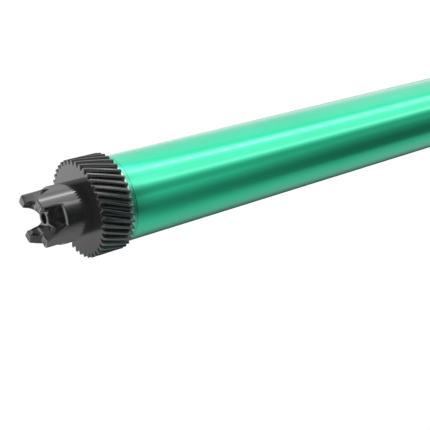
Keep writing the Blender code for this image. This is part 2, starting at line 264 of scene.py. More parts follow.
def filletOutline(corners, arcSteps, closed=True):
    # outline of (x, y, radius of its arc) corners
    points = []
    for index, (x, y, radius) in enumerate(corners):
        atEnd = not closed and index in (0, len(corners) - 1)
        if radius <= 0 or atEnd:
            points.append(Vector((x, y)))
            continue
        before, after = corners[index - 1][:2], corners[(index + 1) % len(corners)][:2]
        points += roundCorner(before, (x, y), after, radius, arcSteps)
    return points


def turnOutline(name, outline, pathRadius, segments, material):
    # closed solid turned from an outline of (radius, height) points
    bm = bmesh.new()
    verts = [bm.verts.new((radius - pathRadius, -height, 0.0)) for radius, height in outline]
    for first, second in zip(verts, verts[1:]):
        bm.edges.new((first, second))
    if outline[0][0] > 0 or outline[-1][0] > 0:  # an outline from axis to axis stays open
        bm.edges.new((verts[-1], verts[0]))
    piece = objectFrom(bm, name)
    values = {"Path Radius": pathRadius, "Segments": segments, "Finish": material}
    return runTree(piece, turnTree, values)


def skinColumns(bm, columns, closedColumns=False):
    # quads between neighbouring columns of points that stand all the way round the axis
    rows = [[bm.verts.new(point) for point in column] for column in columns]
    size = len(rows[0])
    for row, following in zip(rows, rows[1:] + rows[:1]):
        for index in range(size if closedColumns else size - 1):
            after = (index + 1) % size
            bm.faces.new((row[index], row[after], following[after], following[index]))
    return [row[0] for row in rows], [row[-1] for row in rows]


def loopEdges(bm, verts):
    edges = []
    for first, second in zip(verts, verts[1:] + verts[:1]):
        edges.append(bm.edges.get((first, second)) or bm.edges.new((first, second)))
    return edges


def closeSolid(bm, distance):
    bmesh.ops.remove_doubles(bm, verts=bm.verts, dist=distance)
    bmesh.ops.dissolve_degenerate(bm, edges=bm.edges, dist=distance / 10)
    bmesh.ops.recalc_face_normals(bm, faces=bm.faces)


def ribSides(count, thickness, firstAngle, gapSteps):
    # (angle at a radius, is a gap) for columns that follow parallel-sided radial ribs
    pitch = math.tau / count
    found = []

    def column(start, share):
        side = thickness / 2 * (1 - 2 * share)
        return lambda radius: start + share * pitch + math.asin(side / radius)

    for rib in range(count):
        start = firstAngle + rib * pitch
        found.append((column(start, 0.0), False))
        found += [(column(start, share), True) for share in steps(0.0, 1.0, gapSteps)]
        found.append((column(start, 1.0), False))
    return found


def turnedPoint(radius, height, angleAt):
    return polar(radius, angleAt(radius), height)


# shader helpers

def softStep(tree, value, low, high):
    settings = {"interpolation_type": "SMOOTHSTEP"}
    return addNode(tree, "ShaderNodeMapRange", settings, i0=value, i1=low, i2=high).outputs[0]


def blendColor(tree, share, first, second):
    node = addNode(tree, "ShaderNodeMix", {"data_type": "RGBA"}, i0=share, i6=first, i7=second)
    return node.outputs[2]


def noise(tree, vector, scale, detail=2.0, roughness=0.5):
    return addNode(
        tree, "ShaderNodeTexNoise", Vector=vector, Scale=scale, Detail=detail, Roughness=roughness
    ).outputs["Fac"]


def objectPlace(tree):
    return addNode(tree, "ShaderNodeTexCoord").outputs["Object"]


def vectorCalc(tree, operation, **values):
    return addNode(tree, "ShaderNodeVectorMath", {"operation": operation}, **values).outputs


def axisDistance(tree, place):
    flat = vectorCalc(tree, "MULTIPLY", i0=place, i1=(1.0, 1.0, 0.0))[0]
    return vectorCalc(tree, "LENGTH", i0=flat)["Value"]


def addShares(tree, base, *shares):
    # base plus, for each (mask, amount), that much of the mask
    for mask, amount in shares:
        base = calc(tree, "MULTIPLY_ADD", mask, amount, base)
    return base


def newGroup(name, inputs, outputs):
    tree = bpy.data.node_groups.new(name, "ShaderNodeTree")
    for label, value in inputs:
        kind = "NodeSocketColor" if isinstance(value, tuple) else "NodeSocketFloat"
        tree.interface.new_socket(label, in_out="INPUT", socket_type=kind).default_value = value
    for label, kind in outputs:
        tree.interface.new_socket(label, in_out="OUTPUT", socket_type="NodeSocket" + kind)
    return tree, tree.nodes.new("NodeGroupInput").outputs, tree.nodes.new("NodeGroupOutput").inputs


def useGroup(tree, group, **values):
    return addNode(tree, "ShaderNodeGroup", {"node_tree": group}, **values).outputs


# shared surface effects

effects = {
    "waverScale": 260.0,  # of a band's edges
    "hazeRange": (0.35, 0.75),  # noise over which dust turns to haze
    "flowStretch": (1.0, 1.0, 0.35),  # flow marks run along the axis
    "lineGaps": (0.3, 0.7),  # noise over which turning lines break off
}


def buildHeightBand():
    # mask between two heights with soft and slightly wavering edges
    tree, given, result = newGroup(
        "heightBand",
        [("Low", 0.0), ("High", 0.001), ("Softness", 0.0001), ("Waver", 0.0001)],
        [("Mask", "Float")],
    )
    place = objectPlace(tree)
    height = addNode(tree, "ShaderNodeSeparateXYZ", i0=place).outputs["Z"]
    wave = calc(tree, "SUBTRACT", noise(tree, place, effects["waverScale"], detail=3.0), 0.5)
    height = calc(tree, "MULTIPLY_ADD", wave, given["Waver"], height)
    half = calc(tree, "MULTIPLY", given["Softness"], 0.5)

    def passing(end):
        return softStep(tree, height, *[calc(tree, way, end, half) for way in ("SUBTRACT", "ADD")])

    rise, fall = passing(given["Low"]), passing(given["High"])
    tree.links.new(calc(tree, "SUBTRACT", rise, fall), result["Mask"])
    return tree


def buildFineDust():
    # sparse specks and a faint uneven haze, as on a part that has been handled
    tree, given, result = newGroup(
        "fineDust",
        [("Speck Scale", 900.0), ("Speck Share", 0.1), ("Haze Scale", 90.0)],
        [("Specks", "Float"), ("Haze", "Float")],
    )
    place = objectPlace(tree)
    cells = addNode(tree, "ShaderNodeTexVoronoi", Vector=place, Scale=given["Speck Scale"])
    size = noise(tree, place, given["Haze Scale"], detail=3.0, roughness=0.6)
    reach = calc(tree, "MULTIPLY", size, given["Speck Share"])
    dots = calc(tree, "LESS_THAN", cells.outputs["Distance"], reach)
    tree.links.new(dots, result["Specks"])
    tree.links.new(softStep(tree, size, *effects["hazeRange"]), result["Haze"])
    return tree


def buildMouldSkin():
    # fine spark-eroded grain with long flow marks, the skin of a glossy injection moulding
    tree, given, result = newGroup(
        "mouldSkin",
        [("Grain Scale", 5000.0), ("Flow Scale", 120.0)],
        [("Grain", "Float"), ("Flow", "Float")],
    )
    place = objectPlace(tree)
    grain = noise(tree, place, given["Grain Scale"], roughness=0.6)
    tree.links.new(grain, result["Grain"])
    stretched = addNode(tree, "ShaderNodeMapping", Vector=place, Scale=effects["flowStretch"])
    flow = noise(tree, stretched.outputs[0], given["Flow Scale"], detail=3.0, roughness=0.55)
    tree.links.new(flow, result["Flow"])
    return tree


def buildTurningLines():
    # hairlines round the axis that a lathe leaves on a drawn tube
    tree, given, result = newGroup(
        "turningLines", [("Line Scale", 9000.0), ("Break Scale", 60.0)], [("Lines", "Float")]
    )
    place = objectPlace(tree)
    parts = addNode(tree, "ShaderNodeSeparateXYZ", i0=place)
    lifted = addNode(tree, "ShaderNodeCombineXYZ", Z=parts.outputs["Z"]).outputs[0]
    lines = noise(tree, lifted, given["Line Scale"], roughness=0.7)
    kept = softStep(tree, noise(tree, place, given["Break Scale"]), *effects["lineGaps"])
    tree.links.new(calc(tree, "MULTIPLY", lines, kept), result["Lines"])
    return tree


heightBand = buildHeightBand()
fineDust = buildFineDust()
mouldSkin = buildMouldSkin()
turningLines = buildTurningLines()


# finishes

def newFinish(name, **values):
    material = bpy.data.materials.new(name)
    material.use_nodes = True
    tree = material.node_tree
    shader = tree.nodes["Principled BSDF"]
    for label, value in values.items():
        shader.inputs[label.replace("_", " ")].default_value = value
    return material, tree, shader


def feed(tree, shader, **values):
    for label, value in values.items():
        tree.links.new(value, shader.inputs[label.replace("_", " ")])


def bump(tree, shader, height, strength, distance):
    node = addNode(tree, "ShaderNodeBump", Height=height, Strength=strength, Distance=distance)
    feed(tree, shader, Normal=node.outputs["Normal"])


coat = {
    "green": (0.045, 0.93, 0.535, 1.0),
    "deepGreen": (0.035, 0.87, 0.50, 1.0),  # where haze lies
    "thinGreen": (0.070, 0.74, 0.47, 1.0),
    "beadGreen": (0.028, 0.50, 0.31, 1.0),
    "bareMetal": (0.83, 0.84, 0.82, 1.0),
    "coatWeight": 0.9,
    "bareTop": 0.3 * mm,  # bare edge of the tube, under the gear
    "thinTop": 1.25 * mm,  # thinner coat next to the gear
    "beadWidth": 0.3 * mm,  # ridge where the full coat starts
    "beadHeight": 0.012 * mm,
    "bareBottom": 2.3 * mm,  # wiped band next to the flange
    "bareInside": (0.2 * mm, 0.3 * mm),  # depths under the outside where the coat ends
    "softness": 0.1 * mm,  # of the edge between two bands
    "beadSoftness": 0.12 * mm,
    "waver": 0.1 * mm,
    "wipedWaver": 0.35 * mm,
    "roughness": 0.09,
    "lineRoughness": 0.03,  # the rest is what each effect adds
    "hazeRoughness": 0.02,
    "speckRoughness": 0.2,
    "thinRoughness": 0.08,
    "lineRelief": 0.03,  # against the bead's
}


def buildCoatFinish():
    material, tree, shader = newFinish(
        "greenDrumCoat", Metallic=1.0, Coat_IOR=1.8, Coat_Roughness=0.03, IOR=1.5
    )
    place = objectPlace(tree)
    start = tubeHigh.z - coat["thinTop"]
    farOff = 1.0

    def band(low, high, softness=coat["softness"], waver=coat["waver"]):
        ends = {"Low": low, "High": high}
        return useGroup(tree, heightBand, Softness=softness, Waver=waver, **ends)["Mask"]

    top = band(tubeHigh.z - coat["bareTop"], farOff)
    thin = band(start, farOff)
    bead = band(start - coat["beadWidth"], start, softness=coat["beadSoftness"])
    bottom = band(-farOff, tubeLow.z + coat["bareBottom"], waver=coat["wipedWaver"])
    depths = [tubeHigh.x - depth for depth in coat["bareInside"]]
    inside = softStep(tree, axisDistance(tree, place), *depths)
    bare = calc(tree, "MAXIMUM", calc(tree, "MAXIMUM", top, bottom), inside)
    dust = useGroup(tree, fineDust, Speck_Scale=700.0, Speck_Share=0.05, Haze_Scale=45.0)
    lines = useGroup(tree, turningLines, Line_Scale=9000.0, Break_Scale=60.0)["Lines"]
    green = blendColor(tree, dust["Haze"], coat["green"], coat["deepGreen"])
    green = blendColor(tree, thin, green, coat["thinGreen"])
    green = blendColor(tree, bead, green, coat["beadGreen"])
    colour = blendColor(tree, bare, green, coat["bareMetal"])
    rough = addShares(
        tree,
        coat["roughness"],
        (lines, coat["lineRoughness"]),
        (dust["Haze"], coat["hazeRoughness"]),
        (dust["Specks"], coat["speckRoughness"]),
        (thin, coat["thinRoughness"]),
    )
    coated = calc(tree, "MULTIPLY", calc(tree, "SUBTRACT", 1.0, bare), coat["coatWeight"])
    feed(tree, shader, Base_Color=colour, Roughness=rough, Coat_Weight=coated)
    relief = addShares(tree, bead, (lines, coat["lineRelief"]))
    bump(tree, shader, relief, 1.0, coat["beadHeight"])
    return material


plastic = {
    "black": (0.0135, 0.0138, 0.0140, 1.0),
    "flowGrey": (0.0170, 0.0173, 0.0175, 1.0),
    "dustGrey": (0.08, 0.08, 0.075, 1.0),
    "pocketLightGrey": (0.13, 0.13, 0.13, 1.0),  # painted light: lighter grey painted into the coupling's pockets, standing in for light that reaches them
    "recessRadius": (6.6 * mm, 7.1 * mm),  # over which it fades out, from the axis
    "recessTop": (6.7 * mm, 3.2 * mm),  # depths under the claws' tips where it fades out
    "recessFloor": (13.8 * mm, 13.4 * mm),  # above and below
    "edgeHighlightGrey": (0.045, 0.045, 0.045, 1.0),  # painted highlight: convex edges painted a lighter grey
    "edgeHighlightGrain": (0.2, 0.6),  # grain over which the painted edge highlight goes from least to full
    "edgeHighlightLeast": 0.6,
    "bending": 1.79,  # index of refraction
    "gearRoughness": 0.10,
    "gearGrain": 0.002 * mm,
    "flangeRoughness": 0.12,
    "flangeGrain": 0.005 * mm,
    "grainStrength": 0.15,
    "flowRoughness": 0.03,  # the rest is what each effect adds
    "hazeRoughness": 0.02,
    "speckRoughness": 0.25,
}


def pocketLightMask(tree):
    # painted light: where the coupling's pockets are painted lighter, near the axis, under the bowl
    # and over the gear's web
    place = objectPlace(tree)
    height = addNode(tree, "ShaderNodeSeparateXYZ", i0=place).outputs["Z"]
    top = [gearHigh.z - depth for depth in plastic["recessTop"]]
    floor = [gearHigh.z - depth for depth in plastic["recessFloor"]]
    below = calc(tree, "SUBTRACT", 1.0, softStep(tree, height, *top))
    radius = axisDistance(tree, place)
    within = calc(tree, "SUBTRACT", 1.0, softStep(tree, radius, *plastic["recessRadius"]))
    recess = calc(tree, "MULTIPLY", within, below)
    return calc(tree, "MULTIPLY", recess, softStep(tree, height, *floor))


# painted highlight on convex edges, broken up by the grain
def edgeHighlightMask(tree, grain):
    edgeHighlightShare = addNode(tree, "ShaderNodeAttribute", {"attribute_name": "edgeHighlightShare"}).outputs["Fac"]
    uneven = softStep(tree, grain, *plastic["edgeHighlightGrain"])
    least = plastic["edgeHighlightLeast"]
    return calc(tree, "MULTIPLY", edgeHighlightShare, calc(tree, "MULTIPLY_ADD", uneven, 1.0 - least, least))


def buildPlasticFinish(name, roughness, grainDepth):
    material, tree, shader = newFinish(name, Specular_IOR_Level=1.0, IOR=plastic["bending"])
    skin = useGroup(tree, mouldSkin, Grain_Scale=5000.0, Flow_Scale=120.0)
    dust = useGroup(tree, fineDust, Speck_Scale=1400.0, Speck_Share=0.09, Haze_Scale=160.0)
    colour = blendColor(tree, skin["Flow"], plastic["black"], plastic["flowGrey"])
    colour = blendColor(tree, dust["Specks"], colour, plastic["dustGrey"])
    # painted light: the coupling's pockets are painted a lighter grey
    colour = blendColor(tree, pocketLightMask(tree), colour, plastic["pocketLightGrey"])
    # painted highlight: convex edges are painted a lighter grey
    colour = blendColor(tree, edgeHighlightMask(tree, skin["Grain"]), colour, plastic["edgeHighlightGrey"])
    rough = addShares(
        tree,
        roughness,
        (skin["Flow"], plastic["flowRoughness"]),
        (dust["Haze"], plastic["hazeRoughness"]),
        (dust["Specks"], plastic["speckRoughness"]),
    )
    feed(tree, shader, Base_Color=colour, Roughness=rough)
    bump(tree, shader, skin["Grain"], plastic["grainStrength"], grainDepth)
    return material


contact = {
    "bronze": (0.66, 0.40, 0.20, 1.0),
    "darkBronze": (0.50, 0.27, 0.12, 1.0),
    "roughness": 0.22,
    "grainRoughness": 0.15,
}


def buildContactFinish():
    material, tree, shader = newFinish("phosphorBronze", Metallic=1.0)
    skin = useGroup(tree, mouldSkin, Grain_Scale=3000.0, Flow_Scale=300.0)
    colour = blendColor(tree, skin["Flow"], contact["bronze"], contact["darkBronze"])
    rough = addShares(tree, contact["roughness"], (skin["Grain"], contact["grainRoughness"]))
    feed(tree, shader, Base_Color=colour, Roughness=rough)
    return material


coatFinish = buildCoatFinish()
gearFinish = buildPlasticFinish(
    "glossyGearPlastic", plastic["gearRoughness"], plastic["gearGrain"]
)
flangeFinish = buildPlasticFinish(
    "flangePlastic", plastic["flangeRoughness"], plastic["flangeGrain"]
)
contactFinish = buildContactFinish()
print("finishes built")


# drum tube

tube = {
    "wall": 0.75 * mm,
    "outerRounding": 0.12 * mm,
    "innerRounding": 0.06 * mm,
    "seatGap": 0.25 * mm,  # the tube reaches this much further, up to the end pieces
    "segments": 256,
    "cornerSteps": 3,
}


def buildTube():
    outer = (tubeHigh.x - tubeLow.x) / 2
    inner = outer - tube["wall"]
    low, high = tubeLow.z - tube["seatGap"], tubeHigh.z + tube["seatGap"]
    corners = [
        (inner, low, tube["innerRounding"]),
        (outer, low, tube["outerRounding"]),
        (outer, high, tube["outerRounding"]),
        (inner, high, tube["innerRounding"]),
    ]
    outline = filletOutline(corners, tube["cornerSteps"])
    piece = turnOutline("drumTube", outline, inner, tube["segments"], coatFinish)
    return finishShading(piece)


drumTube = buildTube()
print("drum tube:", len(drumTube.data.polygons), "faces")


# drive gear: plug, helical teeth, hub and four claws in one moulding

gear = {
    "toothCount": 40,
    "module": 0.6 * mm,
    "helix": math.radians(20),
    "pressure": math.radians(20),
    "rootDepth": 1.25,  # in modules
    "width": 9.4 * mm,
    "firstTooth": math.radians(-0.8),
    "ringRadius": 11.6 * mm,  # where the teeth's ring meets the plain disc
    "tipRounding": 0.09 * mm,
    "rootRounding": 0.17 * mm,
    "endRounding": 0.07 * mm,
    "twistSteps": 10,
    "flankSteps": 6,
    "cornerSteps": 4,
    "endSteps": 3,
    "edgeHighlightFrom": (11.0, 16.0),  # turns of an edge, in degrees, over which it gets the painted edge highlight
}

plug = {
    "radius": 10.95 * mm,
    "length": 12.0 * mm,
    "wall": 1.3 * mm,
    "leadIn": 0.8 * mm,
    "webDepth": 1.8 * mm,
    "ribCount": 6,
    "ribThickness": 1.0 * mm,
    "sleeveRadius": 3.0 * mm,
    "gapSteps": 20,
}

coupling = {
    "clawCount": 4,
    "clawHeight": 13.2 * mm,
    "hubRadius": 7.86 * mm,
    "hubWall": 1.2 * mm,
    "hubRings": (0.0, 0.3, 0.6),  # rings of points round the hub, as shares of the slot's height
    "tipInnerRadius": 5.4 * mm,
    "outerRounding": 0.4 * mm,
    "innerRounding": 0.25 * mm,
    "flankRounding": 0.45 * mm,
    "footRounding": 0.15 * mm,
    "landRounding": 0.5 * mm,
    "slotHeight": 7.44 * mm,
    "slotAngle": math.radians(40),
    "leanAngle": math.radians(4.5),
    "landAngle": math.radians(21.5),
    "firstSlot": math.radians(-90),
    "bowlFillet": 1.7 * mm,
    "bowlHeight": 9.96 * mm,
    "bossRadius": 2.4 * mm,
    "bossFoot": 0.1 * mm,
    "bossRounding": 0.1 * mm,
    "holeRadius": 1.48 * mm,
    "holeRounding": 0.1 * mm,
    "pocketRounding": 0.1 * mm,
    "facetWidth": 0.32 * mm,  # about the longest facets along the claws' tops
    "facetRise": 0.9 * mm,
    "cornerSteps": 5,
    "outerSteps": 5,
    "tipSteps": 4,
    "wallSteps": 6,
    "bossSteps": 4,
    "holeSteps": 3,
}

gearFace = gearHigh.z - coupling["clawHeight"]
gearBack = gearFace - gear["width"]
pitchRadius = gear["toothCount"] * gear["module"] / math.cos(gear["helix"]) / 2
halfPitch = math.pi / gear["toothCount"]
gearTwist = gear["width"] * math.tan(gear["helix"]) / pitchRadius


def toothCorners():
    # one pitch of the outline, from the middle of one gap over the tooth to the next
    pressure = math.atan(math.tan(gear["pressure"]) / math.cos(gear["helix"]))
    baseRadius = pitchRadius * math.cos(pressure)
    tip, root = pitchRadius + gear["module"], pitchRadius - gear["rootDepth"] * gear["module"]
    levels = steps(root, tip, gear["flankSteps"])[1:-1]

    def halfAngle(radius):
        spread = math.acos(baseRadius / radius)
        return halfPitch / 2 + math.tan(pressure) - pressure - math.tan(spread) + spread

    side = [(root, -halfPitch, 0.0), (root, -halfAngle(root), gear["rootRounding"])]
    side += [(radius, -halfAngle(radius), 0.0) for radius in levels]
    side.append((tip, -halfAngle(tip), gear["tipRounding"]))
    whole = side + [(radius, -angle, rounding) for radius, angle, rounding in reversed(side)]
    return [(*polar(radius, angle).xy, rounding) for radius, angle, rounding in whole]


def insetOutline(points, distance):
    # the outline moved into the tooth, square to its own course
    turnBack = Matrix.Rotation(2 * halfPitch, 2)
    before = turnBack.inverted() @ points[-2]
    after = turnBack @ points[1]
    padded = [before] + points + [after]
    moved = []
    for index, point in enumerate(points):
        along = (padded[index + 2] - padded[index]).normalized()
        moved.append(point - distance * Vector((along.y, -along.x)))
    return moved


def buildToothSector():
    outline = filletOutline(toothCorners(), gear["cornerSteps"], closed=False)
    rounding = gear["endRounding"]
    swings = steps(0, math.pi / 2, gear["endSteps"])
    ends = [rounding * (1 - math.cos(swing)) for swing in swings]
    heights = ends[:-1] + steps(rounding, gear["width"] - rounding, gear["twistSteps"])
    heights += [gear["width"] - end for end in reversed(ends[:-1])]
    bm = bmesh.new()
    rows = []
    for height in heights:
        nearest = min(height, gear["width"] - height)
        turned = Matrix.Rotation(gear["firstTooth"] + gearTwist * height / gear["width"], 2)
        points = insetOutline(outline, roundDrop(nearest, rounding))
        rows.append([bm.verts.new((*(turned @ point), gearBack + height)) for point in points])
    for end, row in ((0.0, rows[0]), (1.0, rows[-1])):
        middle = gear["firstTooth"] + gearTwist * end
        angles = steps(middle - halfPitch, middle + halfPitch, len(outline) - 1)
        height = mix(gearBack, gearFace, end)
        inner = [bm.verts.new(polar(gear["ringRadius"], angle, height)) for angle in angles]
        rows.insert(0 if end == 0.0 else len(rows), inner)
    for row, following in zip(rows, rows[1:]):
        for index in range(len(row) - 1):
            bm.faces.new((row[index], row[index + 1], following[index + 1], following[index]))
    return objectFrom(bm, "toothSector"), len(outline) - 1


def clawHeights():
    # (angle from a slot's middle, height, rise per radian) over one claw's pitch
    low, high = coupling["slotHeight"], coupling["clawHeight"]
    around = coupling["hubRadius"]
    pitch = math.tau / coupling["clawCount"]
    flankFoot = coupling["slotAngle"] / 2
    flankTop = flankFoot + coupling["leanAngle"]
    landEnd = flankTop + coupling["landAngle"]
    rampEnd = pitch - coupling["slotAngle"] / 2
    corners = [
        (-flankFoot * around, low, 0.0),
        (flankFoot * around, low, coupling["footRounding"]),
        (flankTop * around, high, coupling["flankRounding"]),
        (landEnd * around, high, coupling["landRounding"]),
        (rampEnd * around, low, 0.0),
    ]
    course = filletOutline(corners, coupling["cornerSteps"], closed=False)
    found = []
    for first, second in zip(course, course[1:]):
        along, up = second - first
        across, upwards = along / coupling["facetWidth"], abs(up) / coupling["facetRise"]
        pieces = max(1, round(across), round(upwards))
        found += [first.lerp(second, share) for share in steps(0.0, 1.0, pieces)[:-1]]
    found.append(course[-1])
    bowl = coupling["bowlHeight"]
    wanted = [(0, flankFoot * around), (1, bowl), (1, bowl + coupling["bowlFillet"])]
    for axis, value in wanted:
        for first, second in list(zip(found, found[1:])):
            if (first[axis] - value) * (second[axis] - value) < 0:
                share = (value - first[axis]) / (second[axis] - first[axis])
                found.append(first.lerp(second, share))
        found.sort(key=lambda point: point.x)
    heights = []
    for index, point in enumerate(found):
        before, after = found[max(index - 1, 0)], found[min(index + 1, len(found) - 1)]
        rise = (after.y - before.y) / (after.x - before.x) * around
        heights.append((point.x / around, point.y, rise))
    return heights


def clawColumn(angle, height, rise, pocket):
    # radial section of the coupling from the foot of the hub over its top and down the bore
    hub, hole = coupling["hubRadius"], coupling["holeRadius"]
    boss, bowl = coupling["bossRadius"], coupling["bowlHeight"]
    floor, fillet = coupling["slotHeight"], coupling["bowlFillet"]
    flat = coupling["tipInnerRadius"] - fillet
    arcTop = bowl + fillet
    wallInside = hub - coupling["hubWall"]
    rounding = coupling["outerRounding"]
    tipSteps, wallSteps = coupling["tipSteps"], coupling["wallSteps"]
    points = [Vector((hub, share * floor)) for share in coupling["hubRings"]]

    steepness = math.hypot(1, rise / hub)
    for swing in steps(0, math.pi / 2, coupling["outerSteps"]):
        drop = rounding * (1 - math.sin(swing))
        level = max(height - drop * steepness, min(floor, height) - drop)
        points.append(Vector((hub - rounding * (1 - math.cos(swing)), level)))

    if pocket:
        rounding = coupling["pocketRounding"]
        rim, low = (wallInside, height), (wallInside, 0)
        foot = boss + coupling["bossFoot"]
        points += roundCorner((hub, height), rim, low, rounding, tipSteps)
        points += roundCorner(rim, low, (foot, 0), 2 * rounding, wallSteps)
        points.append(Vector((foot, 0)))
        bossBelow = (boss, bowl - mm)
    elif height > bowl:
        rounding = coupling["innerRounding"]
        steepness = math.hypot(1, rise / coupling["tipInnerRadius"])
        for swing in steps(0, math.pi / 2, tipSteps):
            level = max(height - rounding * (1 - math.cos(swing)) * steepness, bowl)
            inward = rounding * (1 - math.sin(swing))
            below = max(arcTop - level, 0.0)
            radius = flat + math.sqrt(max((fillet + inward) ** 2 - below ** 2, 0.0))
            points.append(Vector((radius, level)))
        start = math.acos(min(max((arcTop - level) / fillet, 0.0), 1.0))
        for swing in steps(start, 0, wallSteps):
            inward, below = fillet * math.sin(swing), fillet * math.cos(swing)
            points.append(Vector((flat + inward, arcTop - below)))
        points.append(Vector((boss, bowl)))
        bossBelow = (boss, bowl)
    else:
        share = (bowl - height) / (bowl - floor)
        points += [Vector((mix(flat, wallInside, share), height))] * (tipSteps + 1)
        foot = boss + coupling["bossFoot"]
        for part in steps(0.0, 1.0, wallSteps):
            points.append(Vector((mix(flat, mix(wallInside, foot, part), share), height)))
        points.append(Vector((boss, height)))
        bossBelow = (boss, height)
    outside, inside = (boss, bowl), (hole, bowl)
    points += roundCorner(
        bossBelow, outside, inside, coupling["bossRounding"], coupling["bossSteps"]
    )
    points += roundCorner(
        outside, inside, (hole, 0), coupling["holeRounding"], coupling["holeSteps"]
    )
    points.append(Vector((hole, -plug["webDepth"])))
    return [polar(radius, angle, gearFace + level) for radius, level in points]


def buildCoupling(bm):
    # the slot's columns stand twice at its sides: once with the pocket and once without
    heights = clawHeights()
    half, slack = coupling["slotAngle"] / 2, 0.0001
    columns = []
    for claw in range(coupling["clawCount"]):
        middle = coupling["firstSlot"] + claw * math.tau / coupling["clawCount"]
        for angle, height, rise in heights:
            if angle <= half + slack:
                columns.append(clawColumn(middle + angle, height, rise, True))
            if angle >= half - slack:
                columns.append(clawColumn(middle + angle, height, rise, False))
    return skinColumns(bm, columns)


def buildPlug(bm):
    # columns from the gear's back down the plug, through its ribbed hollow and up the bore
    radius, wall = plug["radius"], plug["wall"]
    inside, sleeve, hole = radius - wall, plug["sleeveRadius"], coupling["holeRadius"]
    end, web = gearBack - plug["length"], gearFace - plug["webDepth"]
    columns = []
    for angleAt, isGap in ribSides(plug["ribCount"], plug["ribThickness"], 0.0, plug["gapSteps"]):
        ceiling = web if isGap else end
        course = [
            (radius, gearBack),
            (radius, end + plug["leadIn"]),
            (radius - plug["leadIn"] / 2, end),
            (inside, end),
            (inside, ceiling),
            (sleeve, ceiling),
            (sleeve, end),
            (hole, end),
            (hole, web - mm),
        ]
        columns.append([turnedPoint(*point, angleAt) for point in course])
    return skinColumns(bm, columns)


def toothRing(bm, height, middle, perTooth):
    # where the teeth's ring meets the disc, with the same points
    angles = steps(middle - halfPitch, middle - halfPitch + math.tau, gear["toothCount"] * perTooth)
    return [bm.verts.new(polar(gear["ringRadius"], angle, height)) for angle in angles[:-1]]


def bridge(bm, first, second):
    edges = loopEdges(bm, first) + loopEdges(bm, second)
    bmesh.ops.bridge_loops(bm, edges=edges)


def buildDriveGear():
    sector, perTooth = buildToothSector()
    bm = bmesh.new()
    hubFoot, boreAbove = buildCoupling(bm)
    plugTop, boreBelow = buildPlug(bm)
    front = toothRing(bm, gearFace, gear["firstTooth"] + gearTwist, perTooth)
    back = toothRing(bm, gearBack, gear["firstTooth"], perTooth)
    bridge(bm, hubFoot, front)
    bridge(bm, plugTop, back)
    bridge(bm, boreAbove, boreBelow)
    piece = objectFrom(bm, "driveGear")
    values = {"Copied Object": sector, "Count": gear["toothCount"], "Finish": gearFinish}
    runTree(piece, ringTree, values)
    removeObject(sector)
    bm = bmesh.new()
    bm.from_mesh(piece.data)
    closeSolid(bm, mergeDistance)
    bm.to_mesh(piece.data)
    bm.free()
    markEdgeHighlight(piece, *gear["edgeHighlightFrom"])
    return finishShading(piece)


driveGear = buildDriveGear()
print("drive gear:", len(driveGear.data.polygons), "faces")


# end flange: plug, rim, dished recess, spoked ring and bored hub in one moulding

flange = {
    "rimThickness": 2.4 * mm,
    "rimChamfer": 0.45 * mm,
    "landWidth": 0.7 * mm,
    "dishDepth": 1.0 * mm,
    "dishWidth": 1.6 * mm,
    "dishRise": 0.3 * mm,  # of the dish's floor towards the axis
    "floorDepth": 7.0 * mm,
    "web": 1.5 * mm,
    "ringRadius": 7.1 * mm,
    "ringWall": 0.7 * mm,
    "setback": 0.4 * mm,
    "hubRadius": 4.45 * mm,
    "boreRadius": 3.2 * mm,
    "boreChamfer": 0.3 * mm,
    "spokeCount": 6,
    "spokeThickness": 0.55 * mm,
    "firstSpoke": math.radians(22),
    "edgeRounding": 0.12 * mm,
    "gapSteps": 36,
    "cornerSteps": 4,
    "edgeHighlightFrom": (13.0, 20.0),
}

post = {
    "count": 2,
    "radius": 1.1 * mm,
    "inset": 1.7 * mm,  # from the inside of the plug's wall
    "sink": 0.5 * mm,  # into the flange's floor
    "pinHeight": 1.0 * mm,
    "pinRadius": 0.6 * mm,
    "segments": 48,
    "cornerSteps": 3,
}


def flangeColumn(isGap):
    # radial section as (radius, height, rounding) corners, the same number in a gap and on a spoke
    rim = (flangeHigh.x - flangeLow.x) / 2
    thick, rimChamfer, ring = flange["rimThickness"], flange["rimChamfer"], flange["ringRadius"]
    seat, outside = thick + plug["length"], plug["radius"]
    inside = outside - plug["wall"]
    floorLow, floorHigh = flange["floorDepth"], flange["floorDepth"] + flange["web"]
    landInner = rim - rimChamfer - flange["landWidth"]
    dish, setback = flange["dishDepth"], flange["setback"]
    gapOuter, hub = ring - flange["ringWall"], flange["hubRadius"]
    ceiling = floorLow if isGap else setback
    edge, bore, chamfer = flange["edgeRounding"], flange["boreRadius"], flange["boreChamfer"]
    return [
        (outside - plug["leadIn"] / 2, seat, edge),
        (outside, seat - plug["leadIn"], edge),
        (outside, thick, edge),
        (rim - rimChamfer / 2, thick, edge),
        (rim, thick - rimChamfer / 2, edge),
        (rim, rimChamfer, edge),
        (rim - rimChamfer, 0.0, edge),
        (landInner, 0.0, edge),
        (landInner - flange["dishWidth"], dish, edge),
        (inside, dish + flange["dishRise"], edge),
        (inside, floorLow, 2 * edge),
        (ring, floorLow, 2 * edge),
        (ring, setback, edge),
        (gapOuter, setback, edge),
        (gapOuter, ceiling, edge),
        (hub, ceiling, edge),
        (hub, setback, edge),
        (bore + chamfer, setback, edge / 2),
        (bore, setback + chamfer, edge / 2),
        (bore, seat, edge),
        (hub, seat, edge),
        (hub, floorHigh, edge),
        (inside, floorHigh, edge),
        (inside, seat, edge),
    ]


